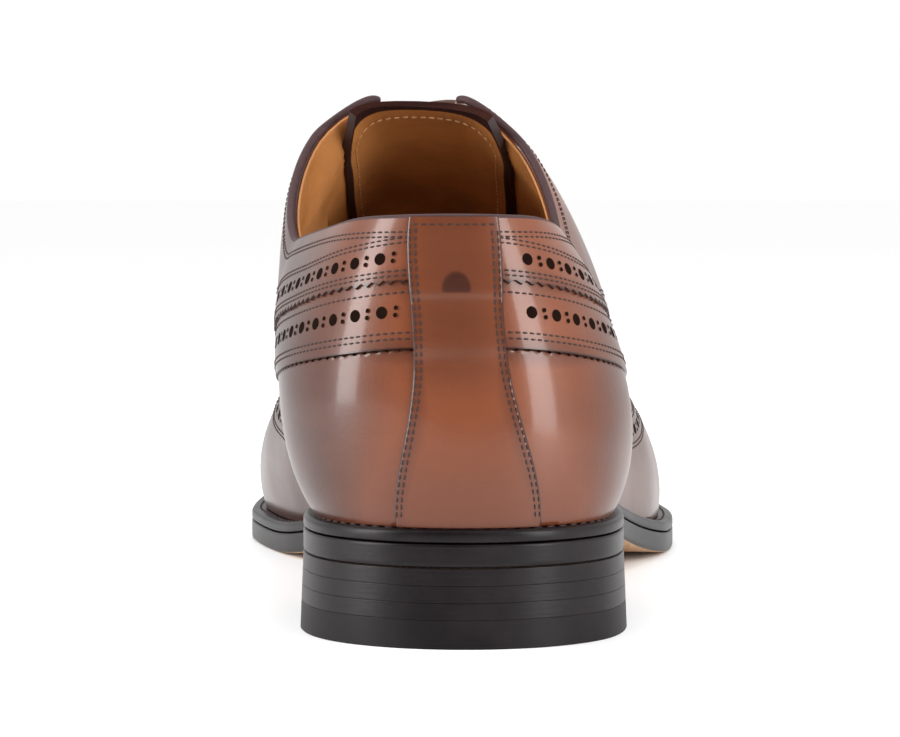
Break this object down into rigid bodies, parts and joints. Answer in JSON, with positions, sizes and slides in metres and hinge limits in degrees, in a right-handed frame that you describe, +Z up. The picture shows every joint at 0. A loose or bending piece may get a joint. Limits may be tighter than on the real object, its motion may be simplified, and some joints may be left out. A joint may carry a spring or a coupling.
{
  "type": "derby shoe",
  "caption": "Right derby shoe in tan calf with full brogue pattern, open lacing, low collar, welted leather sole and stacked heel.",
  "frame": {"origin": "on the floor, at the middle of the heel's top piece", "axes": "+Y along the shoe from heel to toe, +X to the outer side of the foot, +Z up"},
  "size_m": [0.1092, 0.3047, 0.1158],
  "materials": {
    "upper_calf": "burnished calf, polished",
    "lining_leather": "plain vegetable tanned, matt",
    "sole_edge": "dark waxed edge",
    "heel_leather": "dark waxed stack",
    "top_piece_rubber": "hard rubber, dull",
    "lace_cotton": "waxed round cotton lace"
  },
  "bodies": {
    "root": {"outsole": "sole_edge", "welt": "sole_edge", "heel_top_piece": "top_piece_rubber", "heel_lift_1": "heel_leather", "heel_lift_2": "heel_leather", "heel_lift_3": "heel_leather", "insole": "lining_leather", "upper": "upper_calf", "tongue": "upper_calf", "laces": "lace_cotton"}
  },
  "joints": []
}
